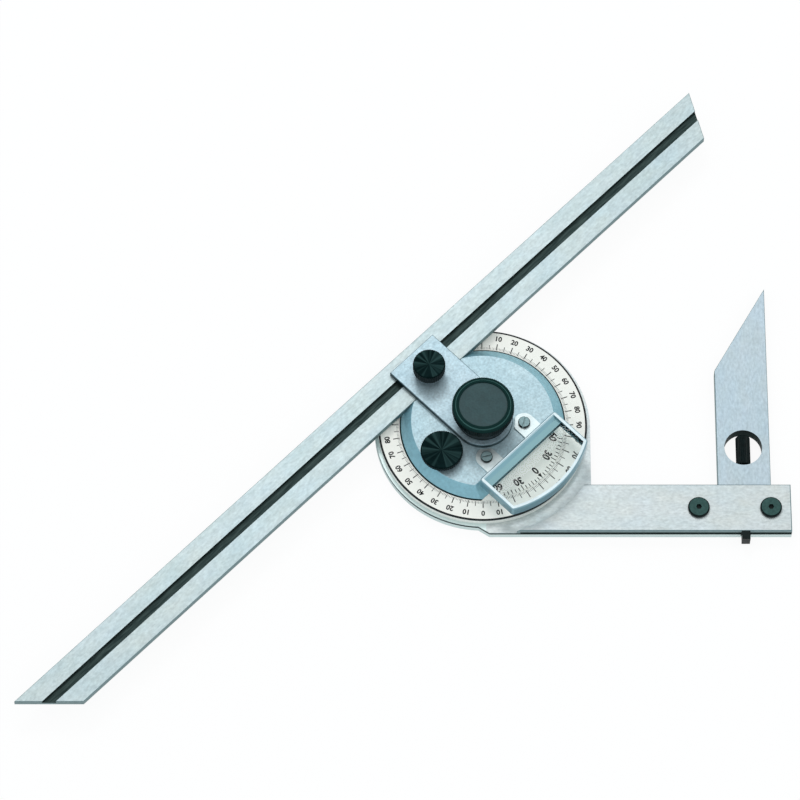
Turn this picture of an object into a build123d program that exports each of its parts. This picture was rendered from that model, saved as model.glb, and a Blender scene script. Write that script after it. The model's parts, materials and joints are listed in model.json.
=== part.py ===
from build123d import *
import os
from math import acos, cos, pi, radians, sin, sqrt, tan

# A universal bevel protractor with a 300 mm blade, lying on its back.
# Millimetres and degrees. The origin is on the pivot axis at the back face. +X runs along
# the stock, +Y points away from the stock's working edge and +Z comes out of the dial.
# Pieces on the turret are drawn in the turret's own directions, X along the blade and Y
# towards it, and on_turret() turns them to the blade's angle.

# Fits and clearances
press_gap = 0.01
shaft_gap = 0.03
running_gap = 0.04
key_gap = 0.05
screw_hole_gap = 0.1
gear_room = 0.2
ring_gap = 0.2
vernier_gap = 0.1

# Base body: dial plate, foot and stock
base_rim = 1.0
base_thickness = 3.2
working_edge_distance = 36.2
stock_width = 15.9
stock_end = 96.5
stock_thickness = 5.0
raised_front_step = 3.7
foot_start = 2.0
foot_chamfer_length = 3.5
stock_edge_chamfer = 0.3

# Main scale ring
scale_ring_width = 6.8
scale_ring_thickness = 2.3
scale_ring_chamfer = 0.25
scale_screw_count = 4
scale_screw_start_angle = 45.0
scale_screw_radius = 1.0
scale_screw_head_radius = 1.9
scale_screw_cover = 1.0

# Fine-adjustment gearing
gear_module = 0.6
ring_gear_teeth = 70
pinion_teeth = 12
pressure_angle = 20.0
tooth_thinning = 0.06
ring_tooth_height = 0.42
tooth_root_depth = 1.25
ring_flank_steps = 1
pinion_flank_steps = 4
ring_gear_wall = 2.5
ring_gear_thickness = 1.9
gear_trough_depth = 1.2
pinion_thickness = 1.6
gear_screw_count = 3
gear_screw_start_angle = 30.0
gear_screw_radius = 0.7
gear_screw_head_radius = 1.4
gear_screw_cover = 0.6
fine_knob_angle = 177.0

# Turret
turret_rise = 3.38
turret_flange_width = 1.55
turret_bevel_width = 3.5
turret_flange_gap = 0.1
blade_wall_gap = 0.1
vernier_slope_top_distance = 14.0
vernier_slope_width = 4.0
turret_bush_radius = 6.2

# Pivot and its washers
pivot_radius = 4.0
pivot_foot_radius = 5.0
pivot_foot_cover = 0.6
pivot_thread_radius = 2.5
pivot_shoulder_drop = 0.08
thrust_washer_rim_gap = 1.8
thrust_washer_thickness = 0.4
lock_washer_radius = 6.6
lock_washer_thickness = 0.6
lock_spring_radius = 4.6
lock_spring_thickness = 0.4

# Blade
blade_length = 300.0
blade_width = 15.0
blade_thickness = 2.3
blade_tip_reach = 131.0
blade_middle_distance = 27.4
blade_sharp_end_angle = 60.0
blade_square_end_angle = 45.0
groove_width = 3.0
groove_depth = 1.0
blade_edge_chamfer = 0.15

# Clamp arm
arm_width = 19.0
arm_reach = 31.7
arm_thickness = 1.8
arm_edge_chamfer = 0.2
key_floor_gap = 0.14
arm_screw_spacing = 13.0
arm_screw_distance = 15.5
arm_screw_radius = 1.0
arm_screw_head_radius = 1.9
arm_screw_cover = 0.5
dowel_radius = 1.0
dowel_spacing = 14.4
dowel_distance = 8.0
dowel_depth_in_turret = 2.0
dowel_depth_in_arm = 1.3

# Vernier plate
vernier_thickness = 0.5
vernier_screw_radius = 0.4
vernier_screw_head_radius = 0.75
vernier_screw_spacing = 32.4
vernier_screw_inset = 0.9
vernier_screw_length = 1.25

# Magnifier bracket
bracket_thickness = 0.6
bracket_screw_arm_gap = 1.7
bracket_screw_spread_angle = 40.0
bracket_lobe_radius = 3.4
bracket_arm_gap = 0.7
bracket_lap = 1.9
bracket_bridge_inset = 0.3
bracket_screw_radius = 0.9
bracket_screw_head_radius = 1.9
bracket_screw_head_height = 0.9
bracket_screw_depth = 3.0
bracket_screw_edge_chamfer = 0.2
bracket_screw_slot_angle = 30.0
screw_slot_width = 0.45
screw_slot_depth = 0.4

# Magnifier
magnifier_half_width = 16.8
magnifier_inner_distance = 15.0
magnifier_height = 4.0
magnifier_rim = 1.2
magnifier_overhang = 1.0
magnifier_inner_rim = 0.6
magnifier_step_run = 1.4
magnifier_step_drop = 1.1
magnifier_ledge_width = 2.0
magnifier_lip = 0.5
magnifier_lip_height = 0.45
magnifier_corner_radius = 1.0
magnifier_edge_chamfer = 0.35
magnifier_screw_spacing = 16.0
magnifier_screw_radius = 0.5
magnifier_screw_head_radius = 0.9
magnifier_screw_depth = 1.4
lens_rise = 1.2

# Lock knob
lock_knob_radius = 9.75
lock_knob_height = 9.15
lock_knob_hub_radius = 8.2
lock_knob_hub_height = 0.6
lock_knob_rim_height = 3.6
lock_knob_step = 0.5
lock_knob_ring_width = 1.15
lock_knob_face_radius = 7.6
lock_knob_face_thickness = 0.6
lock_knob_face_depth = 0.3
lock_knob_web = 0.8
lock_knob_insert_radius = 4.0
lock_knob_teeth = 90
knurl_depth = 0.2

# Blade clamp
clamp_knob_x = -0.9
clamp_knob_distance = 22.9
clamp_knob_radius = 5.15
clamp_knob_height = 6.5
clamp_knob_neck_radius = 3.1
clamp_knob_cap_height = 4.1
clamp_knob_teeth = 44
clamp_screw_radius = 1.5
clamp_screw_cover = 1.1
clamp_bush_radius = 2.8
clamp_bush_flange_radius = 3.4
clamp_bush_flange_height = 0.5
clamp_pad_radius = 2.4
clamp_pad_thickness = 0.7

# Fine-adjustment knob and its shaft
fine_knob_radius = 6.7
fine_knob_height = 2.7
fine_knob_hub_radius = 3.2
fine_knob_cap_height = 1.9
fine_knob_teeth = 56
fine_shaft_radius = 1.5
fine_shaft_cover = 0.7
pinion_bush_radius = 2.4
pinion_bush_flange_radius = 3.3
pinion_bush_flange_height = 0.4
fine_spring_radius = 2.8
fine_spring_thickness = 0.3
knob_edge_chamfer = 0.4
knob_dish_depth = 0.35

# Acute-angle attachment
attachment_middle = 82.1
attachment_width = 16.6
attachment_shoulder = 19.6
attachment_tip_angle = 30.0
attachment_thickness = 4.2
attachment_travel = 0.5
attachment_foot_thickness = 3.7
attachment_foot_gap = 0.1
attachment_foot_wall = 1.6
rebate_end_gap = 0.5
working_edge_wall = 2.0
window_distance = 7.25
window_radius = 5.95

# Guide screws of the attachment, on the stock's front
guide_screw_first = 67.5
guide_screw_second = 90.1
guide_screw_distance = 28.4
guide_screw_radius = 1.5
guide_screw_head_radius = 3.4
guide_screw_head_height = 1.2
guide_screw_edge_chamfer = 0.4
guide_screw_socket_sides = 6
guide_screw_socket_radius = 0.9
guide_screw_socket_depth = 0.7
guide_nut_radius = 2.7
guide_nut_thickness = 1.3
guide_nut_cover = 0.3

# Hook bolt and its nut
bolt_radius = 1.0
bolt_height = 2.4
hook_width = 2.6
hook_length = 2.7
hook_drop = 1.0
clamp_nut_radius = 2.3
clamp_nut_length = 9.6
clamp_nut_seat_gap = 0.06
clamp_nut_bore_cover = 1.2
clamp_nut_teeth = 24
clamp_nut_knurl_depth = 0.22
clamp_nut_chamfer = 0.35

# Heights that follow
dial_face = base_thickness + scale_ring_thickness
turret_top = dial_face + turret_rise
turret_foot = base_thickness + thrust_washer_thickness + running_gap
blade_top = turret_top - running_gap
blade_bottom = blade_top - blade_thickness
blade_seat = blade_bottom - running_gap
arm_top = turret_top + arm_thickness
vernier_floor = dial_face - vernier_thickness
gear_floor = base_thickness - gear_trough_depth
gear_top = gear_floor + ring_gear_thickness
pinion_bottom = gear_floor + gear_room
pocket_ceiling = max(gear_top, pinion_bottom + pinion_thickness) + gear_room
lock_washer_bottom = arm_top
lock_spring_bottom = lock_washer_bottom + lock_washer_thickness
lock_knob_bottom = lock_spring_bottom + lock_spring_thickness + running_gap
lock_knob_top = lock_knob_bottom + lock_knob_height
clamp_knob_bottom = arm_top + clamp_bush_flange_height + running_gap
clamp_knob_top = clamp_knob_bottom + clamp_knob_height
fine_knob_bottom = turret_top + pinion_bush_flange_height + fine_spring_thickness + running_gap
fine_knob_top = fine_knob_bottom + fine_knob_height
magnifier_bottom = turret_top + bracket_thickness
magnifier_top = magnifier_bottom + magnifier_height
lens_bottom = magnifier_bottom + magnifier_lip_height
lens_edge = magnifier_top - magnifier_step_drop
rebate_ceiling = attachment_foot_thickness + attachment_foot_gap

# Radii that follow, from the gearing outwards
ring_pitch_radius = gear_module * ring_gear_teeth / 2
pinion_pitch_radius = gear_module * pinion_teeth / 2
gear_centre_distance = ring_pitch_radius - pinion_pitch_radius
pinion_tip_radius = pinion_pitch_radius + gear_module
pinion_root_radius = pinion_pitch_radius - tooth_root_depth * gear_module
ring_root_radius = ring_pitch_radius + tooth_root_depth * gear_module
ring_tip_radius = ring_pitch_radius - ring_tooth_height
ring_gear_radius = ring_root_radius + ring_gear_wall
gear_screw_circle = ring_root_radius + ring_gear_wall / 2
trough_inner_radius = gear_centre_distance - pinion_tip_radius - gear_room
hub_radius = trough_inner_radius - gear_room
thrust_washer_radius = hub_radius - thrust_washer_rim_gap
pocket_radius = ring_gear_radius + gear_room
turret_radius = pocket_radius + turret_flange_width
turret_top_radius = turret_radius - turret_bevel_width
scale_ring_inner_radius = turret_radius + ring_gap
scale_ring_outer_radius = scale_ring_inner_radius + scale_ring_width
scale_screw_circle = scale_ring_inner_radius + scale_ring_width / 2
vernier_radius = scale_ring_inner_radius - vernier_gap
vernier_slope_foot_distance = vernier_slope_top_distance + vernier_slope_width
vernier_inner_distance = vernier_slope_foot_distance + vernier_gap
magnifier_outer_radius = scale_ring_outer_radius + magnifier_overhang
base_radius = scale_ring_outer_radius + base_rim
raised_front_radius = base_radius + raised_front_step

# Distances that follow
blade_inner_y = blade_middle_distance - blade_width / 2
blade_outer_y = blade_middle_distance + blade_width / 2
blade_wall_y = blade_inner_y - blade_wall_gap
bracket_inner_radius = arm_width / 2 + bracket_arm_gap
bracket_screw_circle = arm_width / 2 + bracket_screw_arm_gap + bracket_screw_head_radius
bracket_screw_side = bracket_screw_circle * sin(radians(bracket_screw_spread_angle))
bracket_screw_distance = bracket_screw_circle * cos(radians(bracket_screw_spread_angle))
magnifier_window_inset = magnifier_inner_rim + magnifier_step_run + magnifier_ledge_width
stock_top_y = stock_width - working_edge_distance
foot_bottom_y = working_edge_wall + attachment_foot_gap - working_edge_distance
slot_half_length = attachment_travel + guide_screw_radius + screw_hole_gap
attachment_left = attachment_middle - attachment_width / 2
attachment_right = attachment_middle + attachment_width / 2
attachment_foot_left = guide_screw_first - slot_half_length - attachment_foot_wall
attachment_foot_right = guide_screw_second + slot_half_length + attachment_foot_wall
fine_knob_x = gear_centre_distance * cos(radians(fine_knob_angle))
fine_knob_y = gear_centre_distance * sin(radians(fine_knob_angle))
nut_bottom_y = -window_distance - sqrt(window_radius**2 - clamp_nut_radius**2) + clamp_nut_seat_gap

blade_angle = 45.0


def on_turret(shape):
    """Turn a piece from the turret's own directions to the blade's angle."""
    return Rot(0, 0, blade_angle) * shape


def disc(radius, bottom, top, x=0.0, y=0.0):
    """A plain cylinder standing between two heights."""
    return extrude(Pos(x, y, bottom) * Circle(radius), top - bottom)


def annulus(outer_radius, inner_radius, bottom, top, x=0.0, y=0.0):
    """A washer or bush between two heights."""
    profile = Circle(outer_radius) - Circle(inner_radius)
    return extrude(Pos(x, y, bottom) * profile, top - bottom)


def block(x_low, x_high, y_low, y_high, bottom, top):
    """A plain block between two corners."""
    size = (x_high - x_low, y_high - y_low, top - bottom)
    middle = ((x_low + x_high) / 2, (y_low + y_high) / 2, (bottom + top) / 2)
    return Pos(*middle) * Box(*size)


def plate(points, bottom, top):
    """A flat plate with straight sides, seen from above, between two heights."""
    outline = make_face(Polyline(*points, close=True))
    return extrude(Pos(0, 0, bottom) * outline, top - bottom)


def along_x(points, half_length):
    """A bar along X from its cross-section of Y and height points."""
    section = make_face(Plane.YZ * Polyline(*points, close=True))
    return extrude(section, half_length, both=True)


def turned(points):
    """A lathe-turned body from its half section of radius and height points."""
    section = make_face(Plane.XZ * Polyline(*points, close=True))
    return revolve(section, Axis.Z)


def chamfer_top(shape, size):
    """Chamfer the edges of a piece's highest face."""
    return chamfer(shape.faces().sort_by(Axis.Z)[-1].outer_wire().edges(), size)


def flat_screw(radius, head_radius, bottom, tip, x, y, clearance=0.0):
    """A countersunk screw with its head at the bottom, or with clearance its hole."""
    head_height = head_radius - radius
    points = [
        (0, bottom),
        (head_radius + clearance, bottom),
        (radius + clearance, bottom + head_height),
        (radius + clearance, tip),
        (0, tip),
    ]
    return Pos(x, y, 0) * turned(points)


def knurled(points, radius, depth, teeth):
    """A lathe-turned body whose widest part has straight knurling."""
    heights = [height for _, height in points]
    crest_radius = radius - press_gap
    outline = []
    for tooth in range(teeth):
        crest = 2 * pi * tooth / teeth
        valley = crest + pi / teeth
        outline.append((crest_radius * cos(crest), crest_radius * sin(crest)))
        outline.append(((radius - depth) * cos(valley), (radius - depth) * sin(valley)))
    return turned(points) & plate(outline, min(heights), max(heights))


def involute(angle):
    """The involute of a pressure angle in radians."""
    return tan(angle) - angle


def tooth_half_angle(radius, pitch_radius, teeth, widening):
    """Half the angle that an involute tooth fills at a radius."""
    flank = radians(pressure_angle)
    contact_radius = max(radius, pitch_radius * cos(flank))
    local_flank = acos(pitch_radius * cos(flank) / contact_radius)
    return pi / (2 * teeth) + widening / pitch_radius + involute(flank) - involute(local_flank)


def gear_outline(teeth, root_radius, tip_radius, widening, flank_steps):
    """A spur gear's outline, with its first tooth centred on +X."""
    pitch_radius = gear_module * teeth / 2
    radii = []
    for step in range(flank_steps + 1):
        radii.append(root_radius + (tip_radius - root_radius) * step / flank_steps)
    points = []
    for tooth in range(teeth):
        middle = 2 * pi * tooth / teeth
        for radius in radii:
            angle = middle - tooth_half_angle(radius, pitch_radius, teeth, widening)
            points.append((radius * cos(angle), radius * sin(angle)))
        for radius in reversed(radii):
            angle = middle + tooth_half_angle(radius, pitch_radius, teeth, widening)
            points.append((radius * cos(angle), radius * sin(angle)))
    return points


# Base body

def round_places(count, start, circle_radius):
    """Evenly spaced places on a circle about the pivot, the first one at an angle."""
    places = []
    for index in range(count):
        angle = radians(start + 360 * index / count)
        places.append((circle_radius * cos(angle), circle_radius * sin(angle)))
    return places


def scale_screws(clearance=0.0):
    """The screws that hold the scale ring from the back, or their holes."""
    tip = dial_face - scale_screw_cover + clearance
    screws = Part()
    for x, y in round_places(scale_screw_count, scale_screw_start_angle, scale_screw_circle):
        screws += flat_screw(scale_screw_radius, scale_screw_head_radius, 0, tip, x, y, clearance)
    return screws


def gear_screws(clearance=0.0):
    """The screws that hold the ring gear from the back, or their holes."""
    tip = gear_top - gear_screw_cover + clearance
    screws = Part()
    for x, y in round_places(gear_screw_count, gear_screw_start_angle, gear_screw_circle):
        screws += flat_screw(gear_screw_radius, gear_screw_head_radius, 0, tip, x, y, clearance)
    return screws


def base_body():
    """Dial plate, foot and stock in one piece, with the gear trough and the rear rebate."""
    chamfer_start_y = -sqrt(base_radius**2 - (foot_start - foot_chamfer_length) ** 2)
    body = disc(base_radius, 0, base_thickness)
    body += plate([
        (0, 0),
        (base_radius, 0),
        (base_radius, -working_edge_distance),
        (foot_start, -working_edge_distance),
        (foot_start - foot_chamfer_length, chamfer_start_y),
    ], 0, base_thickness)
    stock = block(foot_start + foot_chamfer_length, stock_end, -working_edge_distance, stock_top_y,
                  0, stock_thickness)
    stock = chamfer(stock.faces().sort_by(Axis.Z)[-1].edges(), stock_edge_chamfer)
    stock -= disc(raised_front_radius, base_thickness, stock_thickness)
    body += stock
    body -= annulus(ring_gear_radius + press_gap, trough_inner_radius, gear_floor, base_thickness)
    body -= disc(pivot_foot_radius + press_gap, pivot_foot_cover, base_thickness)
    body -= scale_screws(press_gap)
    body -= gear_screws(press_gap)
    body -= attachment_rebate()
    return body


def attachment_rebate():
    """What is cut from the stock for the attachment: its rebate, screw holes and bolt slot."""
    rebate = block(attachment_foot_left - attachment_travel - rebate_end_gap, stock_end,
                   working_edge_wall - working_edge_distance, stock_top_y, 0, rebate_ceiling)
    for x in (guide_screw_first, guide_screw_second):
        rebate += disc(guide_screw_radius + press_gap, rebate_ceiling, stock_thickness,
                       x, -guide_screw_distance)
    slot_reach = attachment_travel + bolt_radius + screw_hole_gap
    rebate += block(attachment_middle - slot_reach, attachment_middle + slot_reach,
                    -working_edge_distance, working_edge_wall - working_edge_distance,
                    bolt_height - bolt_radius - screw_hole_gap,
                    bolt_height + bolt_radius + screw_hole_gap)
    return rebate


def main_scale_ring():
    """The ring that carries the degree scale, flush-topped and chamfered outside."""
    ring = annulus(scale_ring_outer_radius, scale_ring_inner_radius, base_thickness, dial_face)
    ring = chamfer_top(ring, scale_ring_chamfer)
    return ring - scale_screws(press_gap)


def ring_gear():
    """The internal gear in the base's trough. A tooth space faces the pinion."""
    outline = gear_outline(ring_gear_teeth, ring_tip_radius, ring_root_radius, tooth_thinning,
                           ring_flank_steps)
    opening = Rot(0, 0, blade_angle + fine_knob_angle) * plate(outline, gear_floor, gear_top)
    gear = disc(ring_gear_radius, gear_floor, gear_top) - opening
    return gear - gear_screws(press_gap)


def pivot_stud():
    """The stud that the turret turns on, with the thread of the lock knob."""
    shoulder_top = arm_top - pivot_shoulder_drop
    thread_top = lock_knob_top - lock_knob_face_depth - lock_knob_face_thickness - lock_knob_web
    return turned([
        (0, pivot_foot_cover),
        (pivot_foot_radius, pivot_foot_cover),
        (pivot_foot_radius, base_thickness),
        (pivot_radius, base_thickness),
        (pivot_radius, shoulder_top),
        (pivot_thread_radius, shoulder_top),
        (pivot_thread_radius, thread_top - screw_hole_gap),
        (0, thread_top - screw_hole_gap),
    ])


def thrust_washer():
    """The washer between base and turret."""
    return annulus(thrust_washer_radius, pivot_radius + screw_hole_gap, base_thickness,
                   base_thickness + thrust_washer_thickness)


# Turret

def arm_screws(clearance=0.0):
    """The screws that hold the arm from inside the turret, or their holes."""
    tip = arm_top - arm_screw_cover + clearance
    screws = Part()
    for side in (-1, 1):
        screws += flat_screw(arm_screw_radius, arm_screw_head_radius, pocket_ceiling, tip,
                             side * arm_screw_spacing / 2, arm_screw_distance, clearance)
    return screws


def arm_dowels(clearance=0.0):
    """The two dowels between turret and arm, or their holes."""
    dowels = Part()
    for side in (-1, 1):
        dowels += disc(dowel_radius + clearance, turret_top - dowel_depth_in_turret - clearance,
                       turret_top + dowel_depth_in_arm + clearance,
                       side * dowel_spacing / 2, dowel_distance)
    return dowels


def vernier_screws(clearance=0.0):
    """The two small screws of the vernier plate, or their holes."""
    screws = Part()
    for side in (-1, 1):
        head_down = flat_screw(vernier_screw_radius, vernier_screw_head_radius, 0,
                               vernier_screw_length + clearance, 0, 0, clearance)
        screws += Pos(side * vernier_screw_spacing / 2,
                      -vernier_inner_distance - vernier_screw_inset, dial_face) * (
            Rot(180, 0, 0) * head_down)
    return screws


def bracket_screws(clearance=0.0):
    """The two slotted screws of the magnifier's bracket, or their holes."""
    screws = Part()
    for side in (-1, 1):
        x = side * bracket_screw_side
        head_top = magnifier_bottom + bracket_screw_head_height
        screw = disc(bracket_screw_radius + clearance,
                     turret_top - bracket_screw_depth - clearance, magnifier_bottom)
        if clearance == 0:
            head = disc(bracket_screw_head_radius, magnifier_bottom, head_top)
            head = chamfer_top(head, bracket_screw_edge_chamfer)
            slot = Rot(0, 0, side * bracket_screw_slot_angle) * block(
                -bracket_screw_head_radius, bracket_screw_head_radius,
                -screw_slot_width / 2, screw_slot_width / 2, head_top - screw_slot_depth, head_top)
            screw += head - slot
        screws += Pos(x, -bracket_screw_distance, 0) * screw
    return screws


def turret_plate():
    """The turning disc: bevelled rim, blade step, vernier flat and gear pocket."""
    body = turned([
        (0, turret_foot),
        (hub_radius, turret_foot),
        (hub_radius, pocket_ceiling),
        (pocket_radius, pocket_ceiling),
        (pocket_radius, base_thickness + turret_flange_gap),
        (turret_radius, base_thickness + turret_flange_gap),
        (turret_radius, dial_face),
        (turret_top_radius, turret_top),
        (0, turret_top),
    ])
    body -= block(-turret_radius, turret_radius, blade_wall_y, turret_radius, blade_seat, turret_top)
    body -= along_x([
        (-vernier_slope_top_distance, turret_top),
        (-vernier_slope_foot_distance, dial_face),
        (-vernier_slope_foot_distance, vernier_floor),
        (-turret_radius, vernier_floor),
        (-turret_radius, turret_top),
    ], turret_radius)
    body -= disc(turret_bush_radius + press_gap, turret_foot, turret_top)
    body -= disc(pinion_bush_radius + press_gap, pocket_ceiling, turret_top, fine_knob_x, fine_knob_y)
    body -= arm_screws(press_gap)
    body -= arm_dowels(press_gap)
    body -= vernier_screws(press_gap)
    body -= bracket_screws(press_gap)
    return body


def turret_bush():
    """The bearing bush of turret and arm on the pivot stud."""
    return annulus(turret_bush_radius, pivot_radius + shaft_gap, turret_foot, arm_top)


def clamp_arm():
    """The blade holder: round end on the pivot, square end over the blade, guide key below."""
    arm = disc(arm_width / 2, turret_top, arm_top)
    arm += block(-arm_width / 2, arm_width / 2, 0, arm_reach, turret_top, arm_top)
    arm = chamfer_top(arm, arm_edge_chamfer)
    key_half_width = groove_width / 2 - key_gap
    key_bottom = blade_top - groove_depth + key_floor_gap
    arm += block(-arm_width / 2, arm_width / 2, blade_middle_distance - key_half_width,
                 blade_middle_distance + key_half_width, key_bottom, turret_top)
    arm -= disc(turret_bush_radius + press_gap, turret_top, arm_top)
    arm -= disc(clamp_pad_radius + screw_hole_gap, turret_top, turret_top + clamp_pad_thickness,
                clamp_knob_x, clamp_knob_distance)
    arm -= disc(clamp_bush_radius + press_gap, turret_top + clamp_pad_thickness, arm_top,
                clamp_knob_x, clamp_knob_distance)
    arm -= arm_screws(press_gap)
    arm -= arm_dowels(press_gap)
    return arm


def vernier_plate():
    """The plate under the magnifier, flush with the scale ring."""
    sheet = disc(vernier_radius, vernier_floor, dial_face)
    sheet &= block(-vernier_radius, vernier_radius, -vernier_radius, -vernier_inner_distance,
                   vernier_floor, dial_face)
    return sheet - vernier_screws(press_gap)


def magnifier_screws(clearance=0.0):
    """The two screws that hold the frame from under the bracket, or their holes."""
    y = -(magnifier_inner_distance + bracket_lap / 2)
    screws = Part()
    for side in (-1, 1):
        screws += flat_screw(magnifier_screw_radius, magnifier_screw_head_radius, turret_top,
                             magnifier_bottom + magnifier_screw_depth + clearance,
                             side * magnifier_screw_spacing / 2, y, clearance)
    return screws


def magnifier_bracket():
    """The bright plate under the magnifier, with two lobes that reach out from it."""
    half_width = bracket_screw_side + bracket_lobe_radius
    lap_y = -magnifier_inner_distance - bracket_lap
    sheet = block(-half_width, half_width, lap_y, -magnifier_inner_distance - bracket_bridge_inset,
                  turret_top, magnifier_bottom)
    for side in (-1, 1):
        x = side * bracket_screw_side
        sheet += block(x - bracket_lobe_radius, x + bracket_lobe_radius, lap_y,
                       -bracket_screw_distance, turret_top, magnifier_bottom)
        sheet += disc(bracket_lobe_radius, turret_top, magnifier_bottom, x, -bracket_screw_distance)
    sheet -= disc(bracket_inner_radius, turret_top, magnifier_bottom)
    return sheet - bracket_screws(press_gap) - magnifier_screws(press_gap)


def magnifier_outline(side_inset, inner_inset, bottom, top):
    """The magnifier's plan shape: straight sides and an outer arc about the pivot."""
    half_width = magnifier_half_width - side_inset
    shape = disc(magnifier_outer_radius - side_inset, bottom, top)
    return shape & block(-half_width, half_width, -magnifier_outer_radius,
                         -magnifier_inner_distance - inner_inset, bottom, top)


def magnifier_frame():
    """The frame round the lens, with a stepped inner side and a lip that the lens rests on."""
    frame = magnifier_outline(0, 0, magnifier_bottom, magnifier_top)
    frame = fillet(frame.edges().filter_by(Axis.Z), magnifier_corner_radius)
    frame = chamfer_top(frame, magnifier_edge_chamfer)
    step_top_y = -magnifier_inner_distance - magnifier_inner_rim
    window_y = -magnifier_inner_distance - magnifier_window_inset
    frame -= along_x([
        (step_top_y, magnifier_top),
        (step_top_y - magnifier_step_run, lens_edge),
        (window_y - magnifier_lip, lens_edge),
        (window_y - magnifier_lip, magnifier_top),
    ], magnifier_half_width - magnifier_rim)
    frame -= magnifier_outline(magnifier_rim, magnifier_window_inset, lens_bottom, magnifier_top)
    frame -= magnifier_outline(magnifier_rim + magnifier_lip, magnifier_window_inset + magnifier_lip,
                               magnifier_bottom, lens_bottom)
    return frame - magnifier_screws(press_gap)


def magnifier_lens():
    """The reading lens: flat below, crowned across the vernier."""
    glass = magnifier_outline(magnifier_rim + press_gap, magnifier_window_inset + press_gap,
                              lens_bottom, magnifier_top)
    inner_y = magnifier_inner_distance + magnifier_window_inset
    outer_y = magnifier_outer_radius - magnifier_rim
    half_depth = (outer_y - inner_y) / 2
    crown_radius = (half_depth**2 + lens_rise**2) / (2 * lens_rise)
    crown = Rot(0, 90, 0) * Cylinder(crown_radius, 2 * magnifier_half_width)
    return glass & (Pos(0, -(inner_y + outer_y) / 2, lens_edge + lens_rise - crown_radius) * crown)


def lock_washer():
    """The flat washer under the lock knob."""
    return annulus(lock_washer_radius, pivot_thread_radius + screw_hole_gap, lock_washer_bottom,
                   lock_spring_bottom)


def lock_spring_washer():
    """The spring washer under the lock knob, pressed flat."""
    return annulus(lock_spring_radius, pivot_thread_radius + screw_hole_gap, lock_spring_bottom,
                   lock_spring_bottom + lock_spring_thickness)


def pinion_bush():
    """The flanged bush of the pinion's shaft."""
    bush = annulus(pinion_bush_radius, fine_shaft_radius + shaft_gap, pocket_ceiling, turret_top,
                   fine_knob_x, fine_knob_y)
    return bush + annulus(pinion_bush_flange_radius, fine_shaft_radius + shaft_gap, turret_top,
                          turret_top + pinion_bush_flange_height, fine_knob_x, fine_knob_y)


def fine_spring_washer():
    """The spring washer that gives the fine adjustment its drag."""
    bottom = turret_top + pinion_bush_flange_height
    return annulus(fine_spring_radius, fine_shaft_radius + screw_hole_gap, bottom,
                   bottom + fine_spring_thickness, fine_knob_x, fine_knob_y)


def clamp_bush():
    """The threaded bush of the blade clamp, set in the arm."""
    bush = annulus(clamp_bush_radius, clamp_screw_radius + shaft_gap,
                   turret_top + clamp_pad_thickness, arm_top, clamp_knob_x, clamp_knob_distance)
    return bush + annulus(clamp_bush_flange_radius, clamp_screw_radius + shaft_gap, arm_top,
                          arm_top + clamp_bush_flange_height, clamp_knob_x, clamp_knob_distance)


def clamp_pad():
    """The pressure pad between clamp screw and blade."""
    return disc(clamp_pad_radius, turret_top, turret_top + clamp_pad_thickness - running_gap,
                clamp_knob_x, clamp_knob_distance)


# Blade

def blade():
    """The blade, with its guide groove and its two bevelled ends."""
    sharp_run = blade_width / tan(radians(blade_sharp_end_angle))
    square_run = blade_width / tan(radians(blade_square_end_angle))
    tail = blade_tip_reach - blade_length
    bar = plate([
        (tail, blade_outer_y),
        (tail + square_run, blade_inner_y),
        (blade_tip_reach - sharp_run, blade_inner_y),
        (blade_tip_reach, blade_outer_y),
    ], blade_bottom, blade_top)
    bar = chamfer_top(bar, blade_edge_chamfer)
    bar -= block(tail, blade_tip_reach, blade_middle_distance - groove_width / 2,
                 blade_middle_distance + groove_width / 2, blade_top - groove_depth, blade_top)
    return bar


# Knobs

def lock_knob():
    """The mushroom-shaped lock knob with a knurled rim and stepped top rings."""
    rim_top = lock_knob_top - lock_knob_step
    rim_bottom = rim_top - lock_knob_rim_height
    ring_radius = lock_knob_radius - lock_knob_ring_width
    body = knurled([
        (0, lock_knob_bottom),
        (lock_knob_hub_radius, lock_knob_bottom),
        (lock_knob_hub_radius, lock_knob_bottom + lock_knob_hub_height),
        (lock_knob_radius - knob_edge_chamfer, rim_bottom),
        (lock_knob_radius, rim_bottom + knob_edge_chamfer),
        (lock_knob_radius, rim_top - knob_edge_chamfer),
        (lock_knob_radius - knob_edge_chamfer, rim_top),
        (ring_radius, rim_top),
        (ring_radius - lock_knob_step / 2, lock_knob_top),
        (0, lock_knob_top),
    ], lock_knob_radius, knurl_depth, lock_knob_teeth)
    face_floor = lock_knob_top - lock_knob_face_depth - lock_knob_face_thickness
    body -= disc(lock_knob_face_radius + press_gap, face_floor, lock_knob_top)
    body -= disc(lock_knob_insert_radius + press_gap, lock_knob_bottom, face_floor - lock_knob_web)
    return body


def lock_knob_insert():
    """The threaded bush inside the lock knob."""
    top = lock_knob_top - lock_knob_face_depth - lock_knob_face_thickness - lock_knob_web
    return annulus(lock_knob_insert_radius, pivot_thread_radius + shaft_gap, lock_knob_bottom, top)


def lock_knob_face():
    """The bare disc let into the top of the lock knob."""
    top = lock_knob_top - lock_knob_face_depth
    return disc(lock_knob_face_radius, top - lock_knob_face_thickness, top)


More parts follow.
